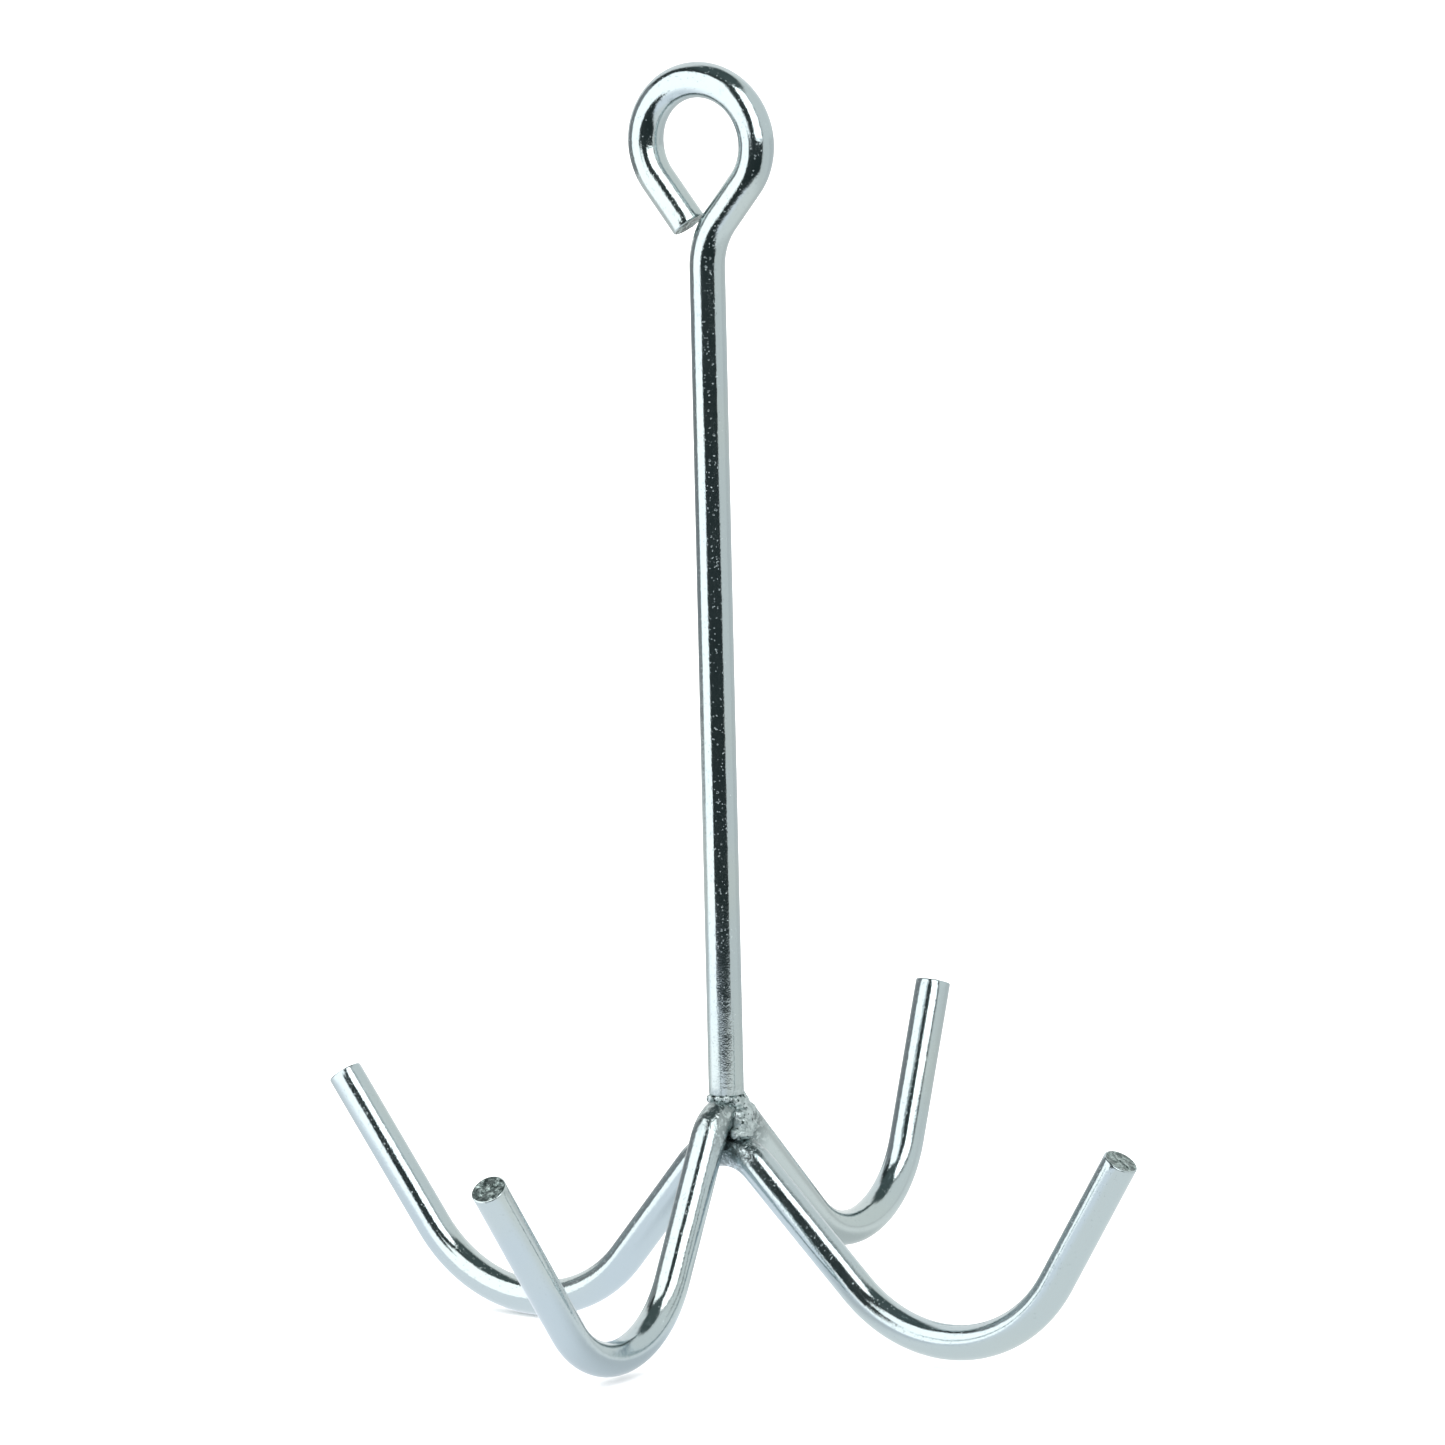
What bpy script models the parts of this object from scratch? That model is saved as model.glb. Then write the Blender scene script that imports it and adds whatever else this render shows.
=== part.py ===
"""A four-prong hanging hook of plated steel rod.

A shank with a bent eye at its top stands on two crossed double hooks, and weld
beads join the three rods. Metres, +Z up. The origin is on the shank's axis,
level with the middle of the eye that the hook hangs by. The lower double hook
runs along X and the upper one along Y.
"""
import math

import bmesh
import bpy
from mathutils import Matrix

MM = 0.001
DEG = math.pi / 180

# ------------------------------------------------------------ driving sizes
ROD_DIAMETER = 8.0 * MM
JOINT_GAP = 0.3 * MM            # clearance between pieces that a weld joins

SHANK_LENGTH = 214.0 * MM       # foot of the shank to the middle of the eye
EYE_RADIUS = 14.0 * MM          # centreline of the eye's bow
EYE_LEG_ANGLE = 38.0 * DEG      # the eye's two straight legs, from the vertical
EYE_OFFSET = 0.9 * MM           # middle of the eye, to the tail's side of the shank
EYE_TURN = 5.0 * DEG            # plane of the eye, from the lower hook's plane
EYE_CLOSING_GAP = 0.4 * MM      # tail's corner to the neck
NECK_RADIUS = 17.5 * MM         # centreline of the bend under the eye

UPPER_CROWN_EASE = 0.2 * MM     # the upper crown is bent this much wider than its seat
LOWER_CROWN_RADIUS = 12.0 * MM  # centreline of the lower hook's top bend
UPPER_BEND_RADIUS = 24.0 * MM   # centreline of each prong's bottom bend
LOWER_BEND_RADIUS = 34.0 * MM

# Each prong: its leg's angle from the vertical and straight length, then its
# tip's angle from the vertical and straight length.
UPPER_FRONT_PRONG = (27.5 * DEG, 33.5 * MM, 37.0 * DEG, 47.0 * MM)
UPPER_BACK_PRONG = (45.5 * DEG, 37.5 * MM, 19.5 * DEG, 37.0 * MM)
LOWER_RIGHT_PRONG = (46.0 * DEG, 36.0 * MM, 31.0 * DEG, 34.0 * MM)
LOWER_LEFT_PRONG = (39.5 * DEG, 30.0 * MM, 36.0 * DEG, 41.0 * MM)

FOOT_WELD_THICKNESS = 1.9 * MM  # how far the bead stands out at its lower edge
FOOT_WELD_LIP = 0.5 * MM        # what is left of that at its upper edge
FOOT_WELD_RISE = 2.8 * MM       # how far it climbs the shank
CROSSING_WELD_REACH = 3.4 * MM  # how far a crossing bead stands out past the upper rod
CROSSING_WELD_LENGTH = 9.6 * MM  # along the upper rod

# --------------------------------------------------------- fineness of facets
ROD_BEVEL_RESOLUTION = 10       # 24 sides
BEND_STEP = 7.5 * DEG
WELD_SIDES = 32

# ------------------------------------------------------------ worked-out sizes
ROD_RADIUS = ROD_DIAMETER / 2
SEAT = ROD_DIAMETER + JOINT_GAP         # centreline to centreline at the crossing
UPPER_CROWN_RADIUS = SEAT + UPPER_CROWN_EASE    # bent over the lower rod
FOOT_Z = -SHANK_LENGTH
UPPER_CROWN_Z = FOOT_Z - JOINT_GAP - ROD_RADIUS
LOWER_CROWN_Z = UPPER_CROWN_Z - SEAT


# ------------------------------------------------------------------ rod paths
class BendPath:
    """Points of a rod's centreline in a vertical plane, bent as on a bench.

    The heading is the angle from straight up, clockwise; (across, up) points.
    """

    def __init__(self, across, up, heading):
        self.across, self.up, self.heading = across, up, heading
        self.points = [(across, up)]

    def straight(self, length):
        self.across += length * math.sin(self.heading)
        self.up += length * math.cos(self.heading)
        self.points.append((self.across, self.up))

    def bend(self, radius, angle):
        """Bend clockwise through an angle, or the other way where it is negative."""
        side = math.copysign(1, angle)
        centre_across = self.across + side * radius * math.cos(self.heading)
        centre_up = self.up - side * radius * math.sin(self.heading)
        steps = max(2, math.ceil(abs(angle) / BEND_STEP))
        first = self.heading
        for step in range(1, steps + 1):
            self.heading = first + angle * step / steps
            self.across = centre_across - side * radius * math.cos(self.heading)
            self.up = centre_up + side * radius * math.sin(self.heading)
            self.points.append((self.across, self.up))


def prong_points(crown_radius, bend_radius, prong):
    """One half of a double hook, from the middle of its crown out to its tip."""
    leg_angle, leg_length, tip_angle, tip_length = prong
    path = BendPath(0, 0, math.pi / 2)
    path.bend(crown_radius, math.pi / 2 - leg_angle)
    path.straight(leg_length)
    path.bend(bend_radius, leg_angle + tip_angle - math.pi)
    path.straight(tip_length)
    return path.points


def double_hook_points(crown_radius, bend_radius, plus_prong, minus_prong):
    """Tip to tip, with the middle of the crown at the origin."""
    plus = prong_points(crown_radius, bend_radius, plus_prong)
    minus = prong_points(crown_radius, bend_radius, minus_prong)
    return [(-across, up) for across, up in reversed(minus[1:])] + plus


def shank_points():
    """Foot to tail: up the shank, out along the neck, round the bow and back."""
    sine, cosine = math.sin(EYE_LEG_ANGLE), math.cos(EYE_LEG_ANGLE)
    neck_across = NECK_RADIUS * (1 - cosine)
    leg_length = (EYE_RADIUS * cosine - neck_across - EYE_OFFSET) / sine
    neck_rise = (NECK_RADIUS + EYE_RADIUS) * sine + leg_length * cosine
    tail_length = ((EYE_RADIUS - ROD_RADIUS) * cosine / sine
                   - EYE_CLOSING_GAP / math.sin(2 * EYE_LEG_ANGLE))
    path = BendPath(0, 0, 0)
    path.straight(SHANK_LENGTH - neck_rise)
    path.bend(NECK_RADIUS, EYE_LEG_ANGLE)
    path.straight(leg_length)
    path.bend(EYE_RADIUS, -(math.pi + 2 * EYE_LEG_ANGLE))
    path.straight(tail_length)
    return path.points


# ------------------------------------------------------------------ materials
def plated_steel(name, roughness):
    material = bpy.data.materials.new(name)
    material.use_nodes = True
    shader = material.node_tree.nodes["Principled BSDF"]
    shader.inputs["Base Color"].default_value = (0.80, 0.83, 0.84, 1)
    shader.inputs["Metallic"].default_value = 1.0
    shader.inputs["Roughness"].default_value = roughness
    return material


# --------------------------------------------------------------------- pieces
def rod_curve(name, points, radius):
    curve = bpy.data.curves.new(name, "CURVE")
    curve.dimensions = "3D"
    curve.bevel_depth = radius
    curve.bevel_resolution = ROD_BEVEL_RESOLUTION
    curve.use_fill_caps = True
    spline = curve.splines.new("POLY")
    spline.points.add(len(points) - 1)
    for point, (across, up) in zip(spline.points, points):
        point.co = (across, 0, up, 1)
    spline.use_smooth = True
    return curve


def place(obj, height, turn):
    obj.location = (0, 0, height)
    obj.rotation_euler = (0, 0, turn)
    bpy.context.scene.collection.objects.link(obj)
    return obj


def add_rod(name, points, height, turn, material):
    curve = rod_curve(name, points, ROD_RADIUS)
    curve.materials.append(material)
    return place(bpy.data.objects.new(name, curve), height, turn)


def add_rod_cutter(name, points, height, turn):
    """A rod grown by the joint gap on every side, which the weld beads are cut by."""
    first, second = points[0], points[1]
    length = math.dist(first, second)
    grown_start = tuple(a + (a - b) * JOINT_GAP / length for a, b in zip(first, second))
    curve = rod_curve(name, [grown_start] + points[1:], ROD_RADIUS + JOINT_GAP)
    maker = bpy.data.objects.new(name, curve)
    mesh = bpy.data.meshes.new_from_object(maker)
    bpy.data.objects.remove(maker)
    cutter = place(bpy.data.objects.new(name, mesh), height, turn)
    cutter.hide_render = True
    cutter.display_type = "WIRE"
    return cutter


def add_bead(name, bm, height, cutters, material):
    """Turn a bead's rough shape into an object fitted round the rods it joins."""
    mesh = bpy.data.meshes.new(name)
    bm.to_mesh(mesh)
    bm.free()
    mesh.materials.append(material)
    mesh.shade_smooth()
    bead = place(bpy.data.objects.new(name, mesh), height, 0)
    for cutter in cutters:
        cut = bead.modifiers.new(cutter.name, "BOOLEAN")
        cut.operation = "DIFFERENCE"
        cut.object = cutter
    return bead


def add_foot_weld(cutters, material):
    """A collar round the shank's foot, seated astride the upper hook's crown."""
    low = -ROD_RADIUS - JOINT_GAP
    depth = FOOT_WELD_RISE - low
    bm = bmesh.new()
    bmesh.ops.create_cone(
        bm, cap_ends=True, segments=WELD_SIDES,
        radius1=ROD_RADIUS + FOOT_WELD_THICKNESS + JOINT_GAP,
        radius2=ROD_RADIUS + FOOT_WELD_LIP + JOINT_GAP,
        depth=depth,
        matrix=Matrix.Translation((0, 0, low + depth / 2)))
    return add_bead("foot_weld", bm, FOOT_Z, cutters, material)


def add_crossing_weld(name, side, cutters, material):
    """A bead in the corner between the upper hook's flank and the lower hook's top.

    It is an egg centred where the two rods meet, as tall as fits under the foot weld.
    """
    half_height = ROD_RADIUS - JOINT_GAP
    bm = bmesh.new()
    bmesh.ops.create_uvsphere(bm, u_segments=WELD_SIDES, v_segments=WELD_SIDES // 2, radius=1)
    bmesh.ops.scale(bm, verts=bm.verts, vec=(
        CROSSING_WELD_REACH, CROSSING_WELD_LENGTH / 2, half_height))
    bmesh.ops.translate(bm, verts=bm.verts, vec=(side * ROD_RADIUS, 0, -ROD_RADIUS))
    return add_bead(name, bm, UPPER_CROWN_Z, cutters, material)


def build():
    for obj in list(bpy.data.objects):
        bpy.data.objects.remove(obj)
    plate = plated_steel("bright_plate", 0.12)
    weld_plate = plated_steel("plated_weld", 0.30)

    shank = (shank_points(), FOOT_Z, EYE_TURN)
    upper = (double_hook_points(UPPER_CROWN_RADIUS, UPPER_BEND_RADIUS,
                                UPPER_BACK_PRONG, UPPER_FRONT_PRONG),
             UPPER_CROWN_Z, math.pi / 2)
    lower = (double_hook_points(LOWER_CROWN_RADIUS, LOWER_BEND_RADIUS,
                                LOWER_RIGHT_PRONG, LOWER_LEFT_PRONG),
             LOWER_CROWN_Z, 0)
    add_rod("shank_rod", *shank, plate)
    add_rod("upper_hook_rod", *upper, plate)
    add_rod("lower_hook_rod", *lower, plate)

    shank_cutter = add_rod_cutter("shank_cutter", *shank)
    upper_cutter = add_rod_cutter("upper_hook_cutter", *upper)
    lower_cutter = add_rod_cutter("lower_hook_cutter", *lower)
    add_foot_weld([shank_cutter, upper_cutter], weld_plate)
    add_crossing_weld("crossing_weld_right", 1, [upper_cutter, lower_cutter], weld_plate)
    add_crossing_weld("crossing_weld_left", -1, [upper_cutter, lower_cutter], weld_plate)


build()
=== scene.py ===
"""A four-prong hanging hook of bright plated rod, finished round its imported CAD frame.

Metres, +Z up. The origin is on the shank's axis, level with the middle of the eye.
The lower double hook lies along X and the upper one along Y.
"""
import math

import bpy
from mathutils import Matrix, Vector


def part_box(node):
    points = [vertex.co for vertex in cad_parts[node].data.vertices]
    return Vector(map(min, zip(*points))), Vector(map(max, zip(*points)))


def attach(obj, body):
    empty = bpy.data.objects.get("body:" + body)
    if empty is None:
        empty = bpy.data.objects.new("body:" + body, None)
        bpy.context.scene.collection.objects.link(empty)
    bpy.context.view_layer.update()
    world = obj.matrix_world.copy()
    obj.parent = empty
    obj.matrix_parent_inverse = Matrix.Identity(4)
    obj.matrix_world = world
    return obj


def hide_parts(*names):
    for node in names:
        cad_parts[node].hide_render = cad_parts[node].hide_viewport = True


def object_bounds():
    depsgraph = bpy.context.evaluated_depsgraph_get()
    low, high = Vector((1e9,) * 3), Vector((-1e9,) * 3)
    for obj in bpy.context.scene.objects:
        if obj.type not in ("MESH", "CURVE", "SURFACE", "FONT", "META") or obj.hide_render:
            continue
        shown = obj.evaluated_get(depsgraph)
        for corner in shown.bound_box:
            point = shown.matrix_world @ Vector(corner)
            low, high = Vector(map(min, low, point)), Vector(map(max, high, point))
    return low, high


MM = 0.001
DEG = math.pi / 180

# ------------------------------------------------------------ the rods' sizes
ROD_RADIUS = 4.0 * MM
JOINT_GAP = 0.3 * MM            # the CAD's clearance between pieces, which the welds fill
SHANK_LENGTH = 214.0 * MM       # foot of the shank to the middle of the eye
EYE_RADIUS = 14.0 * MM
EYE_LEG_ANGLE = 38.0 * DEG
EYE_OFFSET = 0.9 * MM
EYE_TURN = 5.0 * DEG
EYE_CLOSING_GAP = 0.4 * MM
NECK_RADIUS = 17.5 * MM
UPPER_CROWN_RADIUS = 8.5 * MM
LOWER_CROWN_RADIUS = 12.0 * MM
UPPER_BEND_RADIUS = 24.0 * MM
LOWER_BEND_RADIUS = 34.0 * MM

# Each prong: its leg's angle from the vertical and straight length, then its
# tip's angle from the vertical and straight length.
UPPER_FRONT_PRONG = (27.5 * DEG, 33.5 * MM, 37.0 * DEG, 47.0 * MM)
UPPER_BACK_PRONG = (45.5 * DEG, 37.5 * MM, 19.5 * DEG, 37.0 * MM)
LOWER_RIGHT_PRONG = (46.0 * DEG, 36.0 * MM, 31.0 * DEG, 34.0 * MM)
LOWER_LEFT_PRONG = (39.5 * DEG, 30.0 * MM, 36.0 * DEG, 41.0 * MM)

# --------------------------------------------------------- how fine a rod is
ROD_SIDES = 64
RING_STEP = 2.0 * MM            # between rings along a straight
BEND_STEP = 3.0 * DEG
END_ROLL = 0.35 * MM            # the shears roll each cut end's edge over this much
END_RINGS = 7                   # rings inside the rim, which the torn face is drawn on
END_RING_WIDTH = 0.5 * MM
END_TEAR = 0.7 * MM             # how deep a sheared face is torn
END_TEAR_SIZE = 1.5 * MM
SAME_PLACE = 0.01 * MM          # points closer than this are merged
SHARP_EDGE = 50 * DEG

# ------------------------------------------------------------------ the welds
BEAD_VOXEL = 0.2 * MM           # how finely the drops are fused
BEAD_SETTLING = 14              # smoothing passes over the fused drops
LUMP_SIZE = 2.2 * MM
GRAIN_SIZE = 0.8 * MM
FOOT_RELIEF = (0.45 * MM, 0.2 * MM)     # how far the lumps and the grain stand out
CROSSING_RELIEF = (0.7 * MM, 0.7 * MM)

# Drops of weld metal in mm: across, along and up from the shank's foot, then radius.
FOOT_DROPS = (
    (2.3, 2.0, -0.7, 1.6), (1.4, 4.0, -2.1, 1.8), (3.2, 0.9, -2.1, 1.8),
    (2.8, 4.4, -4.1, 1.8), (3.8, 2.4, -3.8, 1.7), (4.3, 0.6, -4.6, 2.0),
    (3.2, -1.2, -1.2, 1.5), (4.4, -1.4, -4.4, 1.7), (2.1, -3.0, -0.5, 1.0),
    (0.2, -3.7, -0.5, 0.9), (-1.8, -3.2, -0.6, 1.0), (-3.2, -1.3, -1.2, 1.2),
    (-3.3, 0.9, -1.3, 1.3), (-2.3, 2.9, -0.9, 1.2), (-0.4, 3.9, -0.8, 1.3))
RIGHT_DROPS = (
    (4.7, -1.5, -6.1, 1.9), (5.0, -2.3, -8.1, 1.7), (4.7, 0.6, -6.7, 1.9),
    (4.5, 2.8, -7.5, 1.6), (5.5, -0.8, -8.3, 1.6), (4.6, -3.3, -8.0, 1.3))
LEFT_DROPS = (
    (-4.8, 1.0, -7.2, 1.9), (-4.7, -1.6, -7.5, 1.8), (-4.6, 3.0, -7.8, 1.6))

# ---------------------------------------------------------------- the plating
COOL_ZINC = (0.482, 0.562, 0.582, 1)
WARM_ZINC = (0.496, 0.570, 0.570, 1)
CROSSING_SHADE_ZINC = (0.12, 0.155, 0.155, 1)   # painted shade round the crossing, close to the welds
TORN_DARK = (0.11, 0.145, 0.14, 1)
TORN_BRIGHT = (0.44, 0.54, 0.52, 1)
BEAD_DARK = (0.36, 0.43, 0.43, 1)
BEAD_BRIGHT = (0.55, 0.63, 0.63, 1)
BEAD_PIT = (0.05, 0.07, 0.07, 1)
PLATE_RELIEF = 0.25 * MM
ROUGH_RELIEF = 0.2 * MM         # of the torn faces and the weld metal
WELD_DEPTH = 9 * MM             # middle of the welds, below the shank's foot
DULLED_AND_SHADED_INSIDE = 6 * MM          # the plate is dulled, and darkened with painted shade, this near to that middle
DULLED_AND_SHADED_OUTSIDE = 13 * MM        # and bright beyond this

# ----------------------------------------------------------------- the camera
CAMERA_AZIMUTH = 34.67 * DEG
CAMERA_ELEVATION = 9.82 * DEG
CAMERA_ROLL = -1.32 * DEG
CAMERA_DISTANCE = 2.526
CAMERA_LENS = 282.85
SENSOR_WIDTH = 36               # like the lens, in millimetres
AIM_RIGHT = 1.04 * MM           # from the shank's axis
AIM_RISE = 88.52 * MM           # from the upper hook's crown


# ------------------------------------------------------------------- the bench
def deselect_all():
    bpy.ops.object.select_all(action="DESELECT")


def apply_modifiers(piece):
    deselect_all()
    piece.select_set(True)
    bpy.context.view_layer.objects.active = piece
    for modifier in list(piece.modifiers):
        bpy.ops.object.modifier_apply(modifier=modifier.name)


def clouds(name, size, depth=2):
    texture = bpy.data.textures.new(name, "CLOUDS")
    texture.noise_scale = size
    texture.noise_depth = depth
    return texture


class Bench:
    """Draws a rod in the XZ plane out of one ring, straight or bent.

    The heading is the angle from straight up, clockwise seen from -Y. The length
    so far is kept for each ring, so that a pattern can follow the rod.
    """

    def __init__(self, name, across, up, heading):
        deselect_all()
        bpy.ops.mesh.primitive_circle_add(
            vertices=ROD_SIDES, radius=ROD_RADIUS, fill_type="NOTHING",
            location=(across, 0, up), rotation=(0, heading, 0))
        self.rod = bpy.context.object
        self.rod.name = name
        self.rod.data.name = name
        self.across, self.up, self.heading = across, up, heading
        self.rings = [0.0]
        bpy.ops.object.transform_apply()
        bpy.ops.object.mode_set(mode="EDIT")
        bpy.ops.mesh.select_mode(type="VERT")
        bpy.ops.mesh.select_all(action="SELECT")

    def straight(self, length):
        rings = max(1, round(length / RING_STEP))
        step = length / rings
        move = (step * math.sin(self.heading), 0, step * math.cos(self.heading))
        for _ in range(rings):
            bpy.ops.mesh.extrude_region_move(TRANSFORM_OT_translate={"value": move})
            self.rings.append(self.rings[-1] + step)
        self.across += rings * move[0]
        self.up += rings * move[2]

    def bend(self, radius, angle):
        """Bend clockwise through an angle, or the other way where it is negative."""
        side = math.copysign(1, angle)
        centre_across = self.across + side * radius * math.cos(self.heading)
        centre_up = self.up - side * radius * math.sin(self.heading)
        steps = max(2, math.ceil(abs(angle) / BEND_STEP))
        bpy.ops.mesh.spin(steps=steps, angle=-angle,
                          center=(centre_across, 0, centre_up), axis=(0, 1, 0))
        for _ in range(steps):
            self.rings.append(self.rings[-1] + radius * abs(angle) / steps)
        self.heading += angle
        self.across = centre_across - side * radius * math.cos(self.heading)
        self.up = centre_up + side * radius * math.sin(self.heading)

    def wrap_pattern(self):
        """A UV map whose U goes round the rod and whose V goes along it, both in metres."""
        mesh = self.rod.data
        wrap = mesh.uv_layers.new(name="wrap")
        side_width = 2 * math.pi * ROD_RADIUS / ROD_SIDES
        for polygon in mesh.polygons:
            sides = [index % ROD_SIDES for index in polygon.vertices]
            closing = ROD_SIDES - 1 in sides and 0 in sides
            for loop, index, side in zip(polygon.loop_indices, polygon.vertices, sides):
                if closing and side == 0:
                    side = ROD_SIDES
                wrap.data[loop].uv = (side * side_width, self.rings[index // ROD_SIDES])

    def cut_ends(self):
        """Close both ends, roll their rims over and leave rings for the torn faces."""
        bpy.ops.mesh.select_mode(type="FACE")
        bpy.ops.mesh.select_all(action="SELECT")
        bpy.ops.mesh.fill_holes(sides=ROD_SIDES)
        bpy.ops.mesh.select_all(action="DESELECT")
        bpy.ops.mesh.select_face_by_sides(number=ROD_SIDES, type="EQUAL", extend=False)
        bpy.ops.mesh.region_to_loop()
        bpy.ops.mesh.bevel(offset=END_ROLL, segments=3, affect="EDGES")
        bpy.ops.mesh.select_mode(type="FACE")
        bpy.ops.mesh.select_face_by_sides(number=ROD_SIDES, type="EQUAL", extend=False)
        self.rod.active_material_index = 1
        bpy.ops.object.material_slot_assign()
        for _ in range(END_RINGS):
            bpy.ops.mesh.inset(thickness=END_RING_WIDTH)
        bpy.ops.mesh.poke()

    def tear_ends(self):
        """Tear the sheared faces up a little, inside their rims."""
        mesh = self.rod.data
        torn = {v for p in mesh.polygons if p.material_index == 1 for v in p.vertices}
        rim = {v for p in mesh.polygons if p.material_index == 0 for v in p.vertices}
        face = self.rod.vertex_groups.new(name="torn_face")
        face.add(sorted(torn - rim), 1.0, "REPLACE")
        tear = self.rod.modifiers.new("tear", "DISPLACE")
        tear.texture = clouds("shear_tear", END_TEAR_SIZE, 3)
        tear.texture_coords = "LOCAL"
        tear.vertex_group = "torn_face"
        tear.mid_level = 0.55
        tear.strength = END_TEAR
        apply_modifiers(self.rod)

    def finish(self, height, turn, plate, cut):
        bpy.ops.mesh.select_all(action="SELECT")
        bpy.ops.mesh.remove_doubles(threshold=SAME_PLACE)
        bpy.ops.object.mode_set(mode="OBJECT")
        self.wrap_pattern()
        self.rod.data.materials.append(plate)
        self.rod.data.materials.append(cut)
        bpy.ops.object.mode_set(mode="EDIT")
        self.cut_ends()
        bpy.ops.mesh.select_all(action="SELECT")
        bpy.ops.mesh.normals_make_consistent(inside=False)
        bpy.ops.object.mode_set(mode="OBJECT")
        self.tear_ends()
        self.rod.rotation_euler = (0, 0, turn)
        self.rod.location = (0, 0, height)
        bpy.ops.object.transform_apply()
        bpy.ops.object.shade_smooth_by_angle(angle=SHARP_EDGE)
        return self.rod


def bend_bottom(crown_radius, bend_radius, prong):
    """How far from the shank's axis a prong's bend is lowest."""
    leg_angle, leg_length, _, _ = prong
    return ((crown_radius + bend_radius) * math.cos(leg_angle)
            + leg_length * math.sin(leg_angle))


def draw_double_hook(name, crown_radius, bend_radius, plus_prong, minus_prong,
                     height, turn, plate, cut):
    """Tip to tip, from the minus side, with the middle of the crown at the origin."""
    leg_angle, leg_length, tip_angle, tip_length = minus_prong
    leg_sine, leg_cosine = math.sin(leg_angle), math.cos(leg_angle)
    tip_sine, tip_cosine = math.sin(tip_angle), math.cos(tip_angle)
    start_across = -(crown_radius * leg_cosine + leg_length * leg_sine
                     + bend_radius * (leg_cosine + tip_cosine) + tip_length * tip_sine)
    start_up = (-crown_radius * (1 - leg_sine) - leg_length * leg_cosine
                + bend_radius * (leg_sine - tip_sine) + tip_length * tip_cosine)
    bench = Bench(name, start_across, start_up, math.pi - tip_angle)
    bench.straight(tip_length)
    bench.bend(bend_radius, leg_angle + tip_angle - math.pi)
    bench.straight(leg_length)
    bench.bend(crown_radius, math.pi / 2 - leg_angle)
    leg_angle, leg_length, tip_angle, tip_length = plus_prong
    bench.bend(crown_radius, math.pi / 2 - leg_angle)
    bench.straight(leg_length)
    bench.bend(bend_radius, leg_angle + tip_angle - math.pi)
    bench.straight(tip_length)
    return bench.finish(height, turn, plate, cut)


def draw_shank(name, height, plate, cut):
    """Foot to tail: up the shank, out along the neck, round the bow and back."""
    sine, cosine = math.sin(EYE_LEG_ANGLE), math.cos(EYE_LEG_ANGLE)
    neck_across = NECK_RADIUS * (1 - cosine)
    leg_length = (EYE_RADIUS * cosine - neck_across - EYE_OFFSET) / sine
    neck_rise = (NECK_RADIUS + EYE_RADIUS) * sine + leg_length * cosine
    tail_length = ((EYE_RADIUS - ROD_RADIUS) * cosine / sine
                   - EYE_CLOSING_GAP / math.sin(2 * EYE_LEG_ANGLE))
    bench = Bench(name, 0, 0, 0)
    bench.straight(SHANK_LENGTH - neck_rise)
    bench.bend(NECK_RADIUS, EYE_LEG_ANGLE)
    bench.straight(leg_length)
    bench.bend(EYE_RADIUS, -(math.pi + 2 * EYE_LEG_ANGLE))
    bench.straight(tail_length)
    return bench.finish(height, EYE_TURN, plate, cut)


def lay_bead(name, drops, foot_height, relief, weld):
    """Weld metal run together from its drops, lumpy and grainy."""
    deselect_all()
    laid = []
    for across, along, up, radius in drops:
        bpy.ops.mesh.primitive_ico_sphere_add(
            subdivisions=4, radius=radius * MM,
            location=(across * MM, along * MM, foot_height + up * MM))
        laid.append(bpy.context.object)
    for drop in laid:
        drop.select_set(True)
    bpy.context.view_layer.objects.active = laid[0]
    bpy.ops.object.join()
    bead = bpy.context.object
    bead.name = name
    bead.data.name = name
    bpy.ops.object.transform_apply()
    fuse = bead.modifiers.new("fuse", "REMESH")
    fuse.mode = "VOXEL"
    fuse.voxel_size = BEAD_VOXEL
    settle = bead.modifiers.new("settle", "SMOOTH")
    settle.factor = 0.6
    settle.iterations = BEAD_SETTLING
    for label, size, strength in zip(("lump", "grain"), (LUMP_SIZE, GRAIN_SIZE), relief):
        swell = bead.modifiers.new(label, "DISPLACE")
        swell.texture = clouds(name + "_" + label, size)
        swell.texture_coords = "LOCAL"
        swell.strength = strength
    apply_modifiers(bead)
    bead.data.materials.append(weld)
    bpy.ops.object.shade_smooth()
    return bead


# ------------------------------------------------------------------- materials
class Level:
    """One output of a shader node, which takes part in Python's arithmetic."""

    def __init__(self, nodes, socket):
        self.nodes, self.socket = nodes, socket

    def maths(self, operation, first, second):
        return self.nodes.add("Math", {"operation": operation}, {0: first, 1: second})

    def __add__(self, other):
        return self.maths("ADD", self, other)

    def __radd__(self, other):
        return self.maths("ADD", other, self)

    def __sub__(self, other):
        return self.maths("SUBTRACT", self, other)

    def __rsub__(self, other):
        return self.maths("SUBTRACT", other, self)

    def __mul__(self, other):
        return self.maths("MULTIPLY", self, other)

    def __rmul__(self, other):
        return self.maths("MULTIPLY", other, self)


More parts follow.
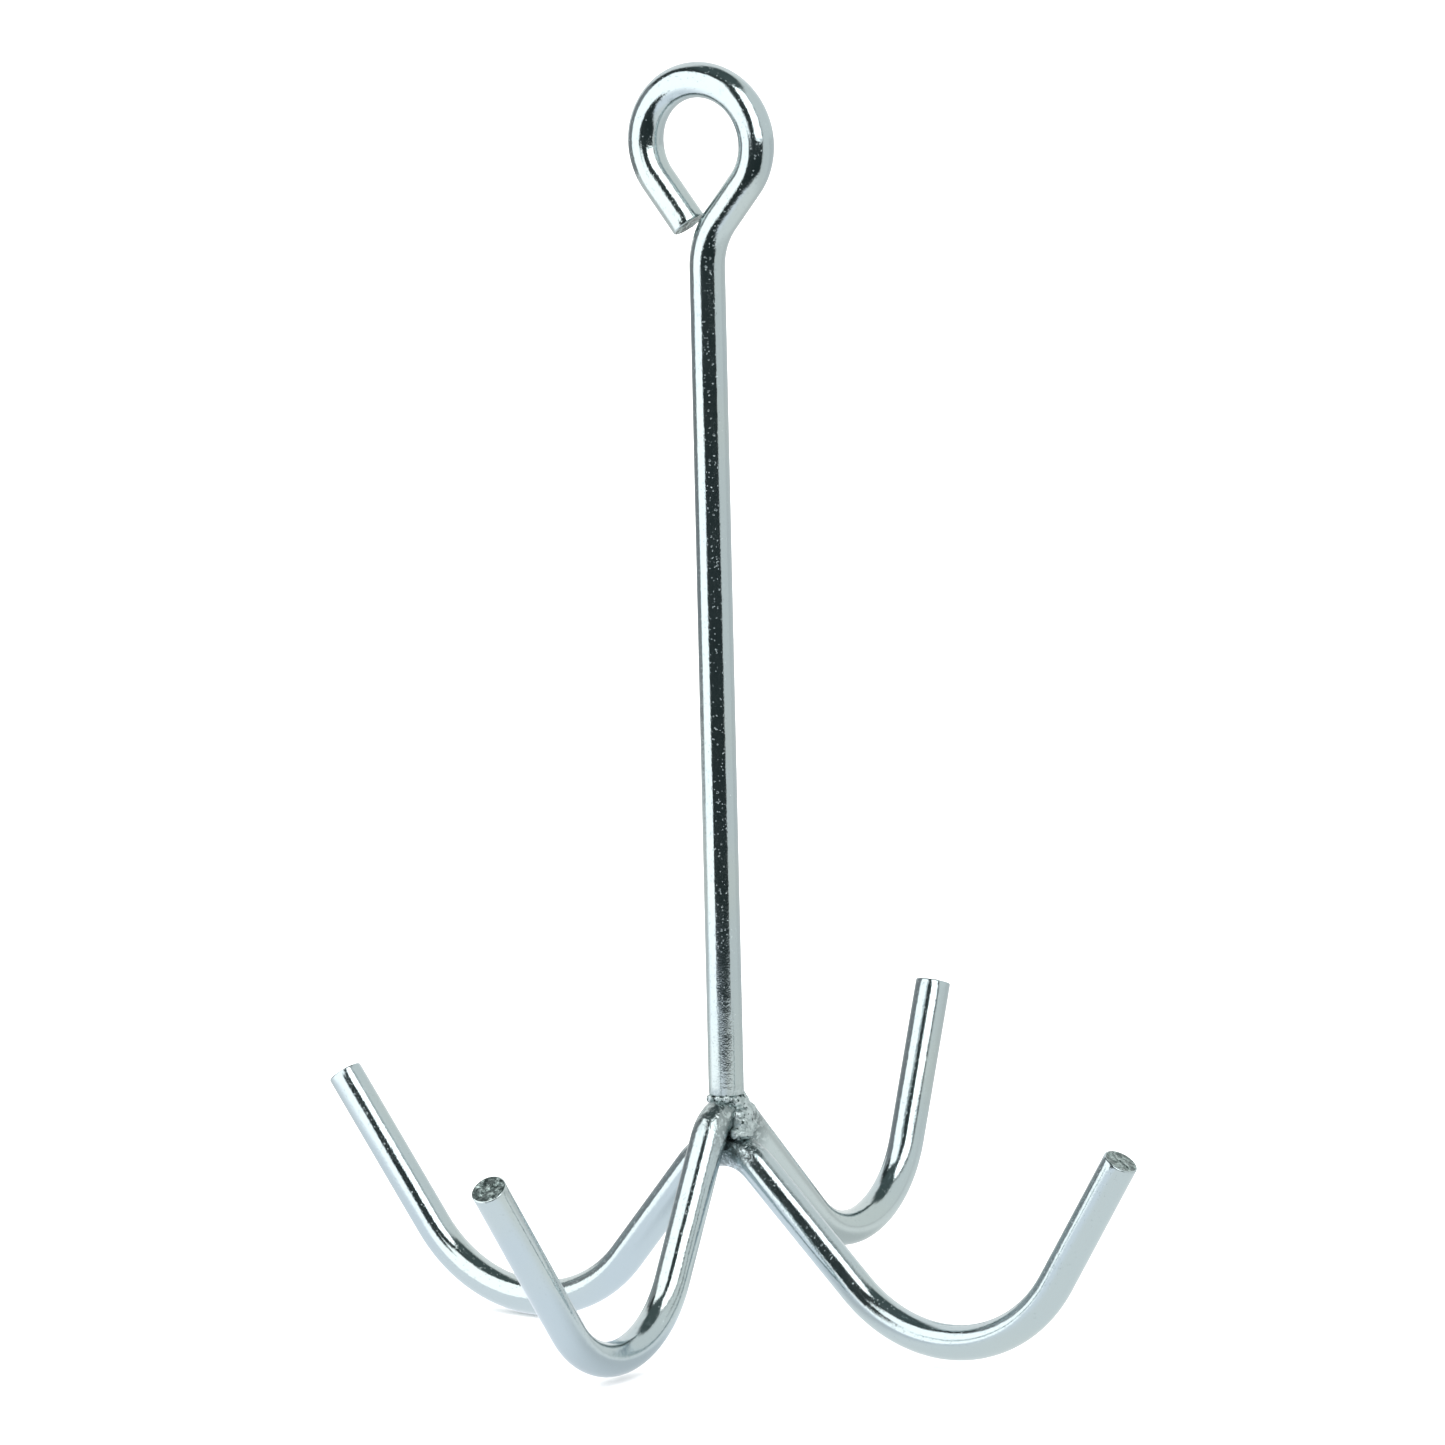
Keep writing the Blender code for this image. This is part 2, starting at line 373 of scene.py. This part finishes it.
class Nodes:
    """A node tree that nodes are added to, with their settings and inputs at once."""

    def __init__(self, tree):
        self.tree = tree

    def add(self, kind, settings, inputs, output=0):
        node = self.tree.nodes.new("ShaderNode" + kind)
        for name, value in settings.items():
            setattr(node, name, value)
        for name, value in inputs.items():
            self.feed(node.inputs[name], value)
        return Level(self, node.outputs[output])

    def feed(self, socket, value):
        if isinstance(value, Level):
            self.tree.links.new(value.socket, socket)
        else:
            socket.default_value = value

    def step(self, value, low, high):
        """0 below low and 1 above high, or the other way round where low is higher."""
        if low > high:
            return 1 - self.step(value, high, low)
        return self.add("MapRange", {"interpolation_type": "SMOOTHSTEP"},
                        {"Value": value, "From Min": low, "From Max": high})

    def mix(self, factor, first, second):
        return self.add("Mix", {"data_type": "RGBA"}, {0: factor, 6: first, 7: second}, 2)

    def noise(self, vector, scale, detail=2.0, roughness=0.5):
        return self.add("TexNoise", {}, {"Vector": vector, "Scale": scale, "Detail": detail,
                                         "Roughness": roughness})

    def parts(self, vector):
        split = self.add("SeparateXYZ", {}, {"Vector": vector})
        return [Level(self, socket) for socket in split.socket.node.outputs]


def new_metal(name):
    """A plated metal, its nodes, its shader and the object's own coordinates."""
    material = bpy.data.materials.new(name)
    material.use_nodes = True
    nodes = Nodes(material.node_tree)
    shader = material.node_tree.nodes["Principled BSDF"].inputs
    shader["Metallic"].default_value = 1.0
    return material, nodes, shader, nodes.add("TexCoord", {}, {}, "Object")


def bright_plate(weld_place):
    """Bright zinc over drawn rod: faint drawing lines, orange peel and fine pits.

    The plating is duller, mottled and darker close to the welds; the darkening is painted shade.
    """
    material, nodes, shader, place = new_metal("bright_plate")
    drift = nodes.step(nodes.noise(place, 26.0, 1.0), 0.42, 0.6)
    tint = nodes.mix(drift, COOL_ZINC, WARM_ZINC)
    apart = nodes.add("VectorMath", {"operation": "DISTANCE"},
                      {0: place, 1: weld_place}, "Value")
    mottle = nodes.noise(place, 800.0, 3.0, 0.6)
    # Painted shade round the crossing plus real dulling: darker colour, more roughness and relief
    # near the welds.
    dulled_and_shaded = nodes.step(apart, DULLED_AND_SHADED_OUTSIDE, DULLED_AND_SHADED_INSIDE) * nodes.step(mottle, 0.34, 0.56)
    nodes.feed(shader["Base Color"], nodes.mix(0.85 * dulled_and_shaded, tint, CROSSING_SHADE_ZINC))
    wrap = nodes.add("UVMap", {"uv_map": "wrap"}, {})
    drawn = nodes.add("Mapping", {}, {"Vector": wrap, "Scale": (3400.0, 45.0, 1.0)})
    lines = nodes.noise(drawn, 1.0)
    peel = nodes.noise(place, 420.0, 1.0)
    sway = nodes.noise(place, 75.0, 1.0)
    grain = nodes.noise(place, 2600.0)
    cloud = nodes.noise(place, 180.0)
    nodes.feed(shader["Roughness"], 0.04 + 0.08 * cloud + 0.06 * lines + 0.15 * dulled_and_shaded)
    pits = nodes.step(nodes.noise(place, 1900.0, 0.0), 0.74, 0.8)
    rise = (sway * 0.5 + peel * 0.12 + lines * 0.035 + grain * 0.08 - pits * 0.12
            + dulled_and_shaded * mottle * 0.6)
    nodes.feed(shader["Normal"],
               nodes.add("Bump", {}, {"Strength": 1.0, "Distance": PLATE_RELIEF,
                                      "Height": rise}))
    return material


def sheared_end():
    """The same plating over a torn, duller face."""
    material, nodes, shader, place = new_metal("sheared_end")
    tear = nodes.noise(place, 900.0, 3.0, 0.6)
    nodes.feed(shader["Base Color"],
               nodes.mix(nodes.step(tear, 0.42, 0.68), TORN_DARK, TORN_BRIGHT))
    nodes.feed(shader["Roughness"], 0.14 + 0.22 * tear)
    nodes.feed(shader["Normal"],
               nodes.add("Bump", {}, {"Strength": 1.0, "Distance": ROUGH_RELIEF,
                                      "Height": tear}))
    return material


def plated_weld():
    """Plating over weld metal: satin, mottled and dark in its hollows."""
    material, nodes, shader, place = new_metal("plated_weld")
    mottle = nodes.noise(place, 620.0, 4.0, 0.6)
    speck = nodes.step(nodes.noise(place, 1300.0, 1.0), 0.62, 0.68)
    colour = nodes.mix(nodes.step(mottle, 0.38, 0.62), BEAD_DARK, BEAD_BRIGHT)
    nodes.feed(shader["Base Color"], nodes.mix(speck, colour, BEAD_PIT))
    nodes.feed(shader["Roughness"], 0.18 + 0.3 * mottle)
    nodes.feed(shader["Normal"],
               nodes.add("Bump", {}, {"Strength": 1.0, "Distance": ROUGH_RELIEF,
                                      "Height": mottle - 0.5 * speck}))
    return material


# ----------------------------------------------------------------------- build
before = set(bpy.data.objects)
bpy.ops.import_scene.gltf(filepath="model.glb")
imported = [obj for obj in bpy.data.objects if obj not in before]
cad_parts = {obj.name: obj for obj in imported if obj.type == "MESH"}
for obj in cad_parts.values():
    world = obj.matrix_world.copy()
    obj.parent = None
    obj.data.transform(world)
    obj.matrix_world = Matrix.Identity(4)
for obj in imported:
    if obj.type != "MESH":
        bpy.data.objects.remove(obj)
cad_low, cad_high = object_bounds()
foot_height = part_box("shank_rod")[0].z
upper_crown_height = foot_height - JOINT_GAP - ROD_RADIUS
lower_crown_height = upper_crown_height - 2 * ROD_RADIUS - JOINT_GAP

plate = bright_plate((0, 0, foot_height - WELD_DEPTH))
cut, weld = sheared_end(), plated_weld()
shank = draw_shank("shank", foot_height, plate, cut)
upper_hook = draw_double_hook(
    "upper_hook", UPPER_CROWN_RADIUS, UPPER_BEND_RADIUS, UPPER_BACK_PRONG,
    UPPER_FRONT_PRONG, upper_crown_height, math.pi / 2, plate, cut)
lower_hook = draw_double_hook(
    "lower_hook", LOWER_CROWN_RADIUS, LOWER_BEND_RADIUS, LOWER_RIGHT_PRONG,
    LOWER_LEFT_PRONG, lower_crown_height, 0, plate, cut)

foot_bead = lay_bead("foot_bead", FOOT_DROPS, foot_height, FOOT_RELIEF, weld)
right_bead = lay_bead("right_crossing_bead", RIGHT_DROPS, foot_height, CROSSING_RELIEF, weld)
left_bead = lay_bead("left_crossing_bead", LEFT_DROPS, foot_height, CROSSING_RELIEF, weld)

for piece, node, slot in ((shank, "shank_rod", "bright_plate"),
                          (upper_hook, "upper_hook_rod", "bright_plate"),
                          (lower_hook, "lower_hook_rod", "bright_plate"),
                          (foot_bead, "foot_weld", "plated_weld"),
                          (right_bead, "crossing_weld_right", "plated_weld"),
                          (left_bead, "crossing_weld_left", "plated_weld")):
    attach(piece, "root")
    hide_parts(node)

# ---------------------------------------------------------------------- camera
camera_right = Vector((math.cos(CAMERA_AZIMUTH), math.sin(CAMERA_AZIMUTH), 0))
camera_back = Vector((math.sin(CAMERA_AZIMUTH) * math.cos(CAMERA_ELEVATION),
                      -math.cos(CAMERA_AZIMUTH) * math.cos(CAMERA_ELEVATION),
                      math.sin(CAMERA_ELEVATION)))
aim = camera_right * AIM_RIGHT + Vector((0, 0, upper_crown_height + AIM_RISE))
camera = bpy.data.objects.new("camera", bpy.data.cameras.new("camera"))
bpy.context.scene.collection.objects.link(camera)
camera.data.sensor_width = SENSOR_WIDTH
camera.data.lens = CAMERA_LENS
camera.data.clip_start = 0.1
camera.data.clip_end = 200
camera.matrix_world = (Matrix.Translation(aim + camera_back * CAMERA_DISTANCE)
                       @ Matrix.Rotation(CAMERA_AZIMUTH, 4, "Z")
                       @ Matrix.Rotation(math.pi / 2 - CAMERA_ELEVATION, 4, "X")
                       @ Matrix.Rotation(CAMERA_ROLL, 4, "Z"))
bpy.context.scene.camera = camera

# ----------------------------------------------------------------------- stage
# The studio's azimuths run from the camera's side, + to its right.
FLOOR_GAP = 0.2 * MM            # floor, below the lowest bend
FLOOR_SIZE = 60
SKY_STRENGTH = 2.3
floor_height = cad_low.z - FLOOR_GAP
SHADE = (0.026, 0.038, 0.039, 1)
GAP_GREY = (0.30, 0.31, 0.32, 1)
WALL = (0.93, 0.95, 0.94, 1)
BACK_WALL = (1.1, 1.1, 1.1, 1)
CEILING = (0.07, 0.10, 0.10, 1)
WHITE = (1, 1, 1, 1)
PAPER = (0.9, 0.9, 0.9, 1)      # as the camera sees it; the rest is what the plating mirrors
PAPER_BY_SOFTBOX = (1.75, 1.75, 1.78, 1)
PAPER_LEFT = (1.12, 1.15, 1.23, 1)
PAPER_MIDDLE = (1.06, 1.07, 1.07, 1)
PAPER_RIGHT = (0.90, 0.91, 0.90, 1)
PAPER_AWAY = (0.80, 0.81, 0.81, 1)
PAPER_SHADED = (0.42, 0.46, 0.47, 1)
SHADOW_DRIFT = 14 * MM          # the paper's shade lies to the right of each bend
SHADOW_CORE = 6 * MM
SHADOW_EDGE = 42 * MM
upper_bends = [bend_bottom(UPPER_CROWN_RADIUS, UPPER_BEND_RADIUS, prong)
               for prong in (UPPER_FRONT_PRONG, UPPER_BACK_PRONG)]
bend_bottoms = ((0, -upper_bends[0]), (0, upper_bends[1]))


def stage_plane(name, size, place):
    deselect_all()
    bpy.ops.mesh.primitive_plane_add(size=1)
    plane = bpy.context.object
    plane.name = name
    plane.data.transform(place @ Matrix.Diagonal((size[0], size[1], 1, 1)))
    return plane


def stage_material(name):
    """A material with no shader yet, its nodes and its surface socket."""
    material = bpy.data.materials.new(name)
    material.use_nodes = True
    tree = material.node_tree
    tree.nodes.remove(tree.nodes["Principled BSDF"])
    return material, Nodes(tree), tree.nodes["Material Output"].inputs["Surface"]


def card(name, azimuth, distance, bottom, top, width, colour, strength):
    """A panel that stands round the object and only shows in what the plating mirrors."""
    turn = CAMERA_AZIMUTH + azimuth
    middle = floor_height + (bottom + top) / 2
    plane = stage_plane(name, (width, top - bottom),
                        Matrix.Translation((distance * math.sin(turn),
                                            -distance * math.cos(turn), middle))
                        @ Matrix.Rotation(turn, 4, "Z")
                        @ Matrix.Rotation(math.pi / 2, 4, "X"))
    material, nodes, surface = stage_material(name)
    nodes.feed(surface, nodes.add("Emission", {}, {"Color": colour, "Strength": strength}))
    plane.data.materials.append(material)
    plane.visible_camera = False
    plane.visible_diffuse = False
    plane.visible_shadow = False


def lay_floor():
    """White paper. What the plating mirrors of it is brighter by the left softbox and
    ends in shade at the table's near edge."""
    floor = stage_plane("floor", (FLOOR_SIZE, FLOOR_SIZE), Matrix.Translation((0, 0, floor_height)))
    material, nodes, surface = stage_material("floor_paper")
    place = nodes.add("TexCoord", {}, {}, "Object")
    across, away, _ = nodes.parts(nodes.add("Mapping", {}, {
        "Vector": place, "Rotation": (0, 0, -CAMERA_AZIMUTH)}))
    paper = nodes.mix(nodes.step(across, -0.33, -0.14), PAPER_BY_SOFTBOX, PAPER_LEFT)
    paper = nodes.mix(nodes.step(across, -0.03, 0.05), paper, PAPER_MIDDLE)
    paper = nodes.mix(nodes.step(across, 0.11, 0.30), paper, PAPER_RIGHT)
    paper = nodes.mix(nodes.step(away, 0.03, 0.22), paper, PAPER_AWAY)
    for hook_across, hook_along in bend_bottoms:
        spot = (hook_across + SHADOW_DRIFT * camera_right.x,
                hook_along + SHADOW_DRIFT * camera_right.y, floor_height)
        apart = nodes.add("VectorMath", {"operation": "DISTANCE"},
                          {0: place, 1: spot}, "Value")
        shade = 0.5 * nodes.step(apart, SHADOW_EDGE, SHADOW_CORE)
        paper = nodes.mix(shade, paper, PAPER_SHADED)
    front = nodes.step(away, -0.28, -0.33)
    between = (nodes.step(across - 0.95 * away, -0.02, 0.02)
               * nodes.step(across + 0.95 * away, 0.02, -0.02))
    paper = nodes.mix(front * between, paper, SHADE)
    mirrored = nodes.add("Emission", {}, {"Color": paper})
    seen = nodes.add("BsdfDiffuse", {}, {"Color": PAPER})
    path = nodes.add("LightPath", {}, {}, "Is Glossy Ray")
    nodes.feed(surface, nodes.add("MixShader", {}, {0: path, 1: seen, 2: mirrored}))
    floor.data.materials.append(material)


def hang_world():
    """White all round for the paper; a dim room with pale walls for the plating."""
    world = bpy.data.worlds.new("studio")
    bpy.context.scene.world = world
    world.use_nodes = True
    world.node_tree.nodes.clear()
    nodes = Nodes(world.node_tree)
    across, away, up = nodes.parts(nodes.add("Mapping", {"vector_type": "VECTOR"}, {
        "Vector": nodes.add("TexCoord", {}, {}, "Generated"),
        "Rotation": (0, 0, -CAMERA_AZIMUTH)}))
    azimuth = nodes.add("Math", {"operation": "ARCTAN2"}, {0: across, 1: 0 - away})
    rise = nodes.add("Math", {"operation": "ARCSINE"}, {0: up})
    room = nodes.mix(nodes.step(azimuth, 40 * DEG, 54 * DEG), SHADE, WALL)
    room = nodes.mix(nodes.step(azimuth, 138 * DEG, 152 * DEG), room, BACK_WALL)
    room = nodes.mix(nodes.step(azimuth, -126 * DEG, -136 * DEG), room, BACK_WALL)
    room = nodes.mix(nodes.step(rise, 54 * DEG, 66 * DEG), room, CEILING)
    path = nodes.add("LightPath", {}, {}, "Is Glossy Ray")
    sky = nodes.add("Background", {}, {"Color": WHITE, "Strength": SKY_STRENGTH})
    mirrored = nodes.add("Background", {}, {"Color": room})
    end = world.node_tree.nodes.new("ShaderNodeOutputWorld")
    nodes.feed(end.inputs["Surface"],
               nodes.add("MixShader", {}, {0: path, 1: sky, 2: mirrored}))


lay_floor()
hang_world()
card("left_softbox", -65 * DEG, 0.40, 0.0, 0.72, 0.56, WHITE, 1.9)
card("right_softbox", 20 * DEG, 1.30, 0.28, 2.60, 1.00, WHITE, 3.0)
card("near_shade_left", -25.5 * DEG, 0.36, 0.0, 0.245, 0.29, SHADE, 1.0)
card("near_shade_right", 19.5 * DEG, 0.37, 0.0, 0.135, 0.34, SHADE, 1.0)
card("back_left_gap", -118 * DEG, 0.75, 0.0, 0.60, 0.50, GAP_GREY, 1.0)
card("back_left_sill", -144 * DEG, 0.80, 0.0, 0.18, 0.30, GAP_GREY, 1.3)
bpy.context.scene.view_settings.view_transform = "Standard"
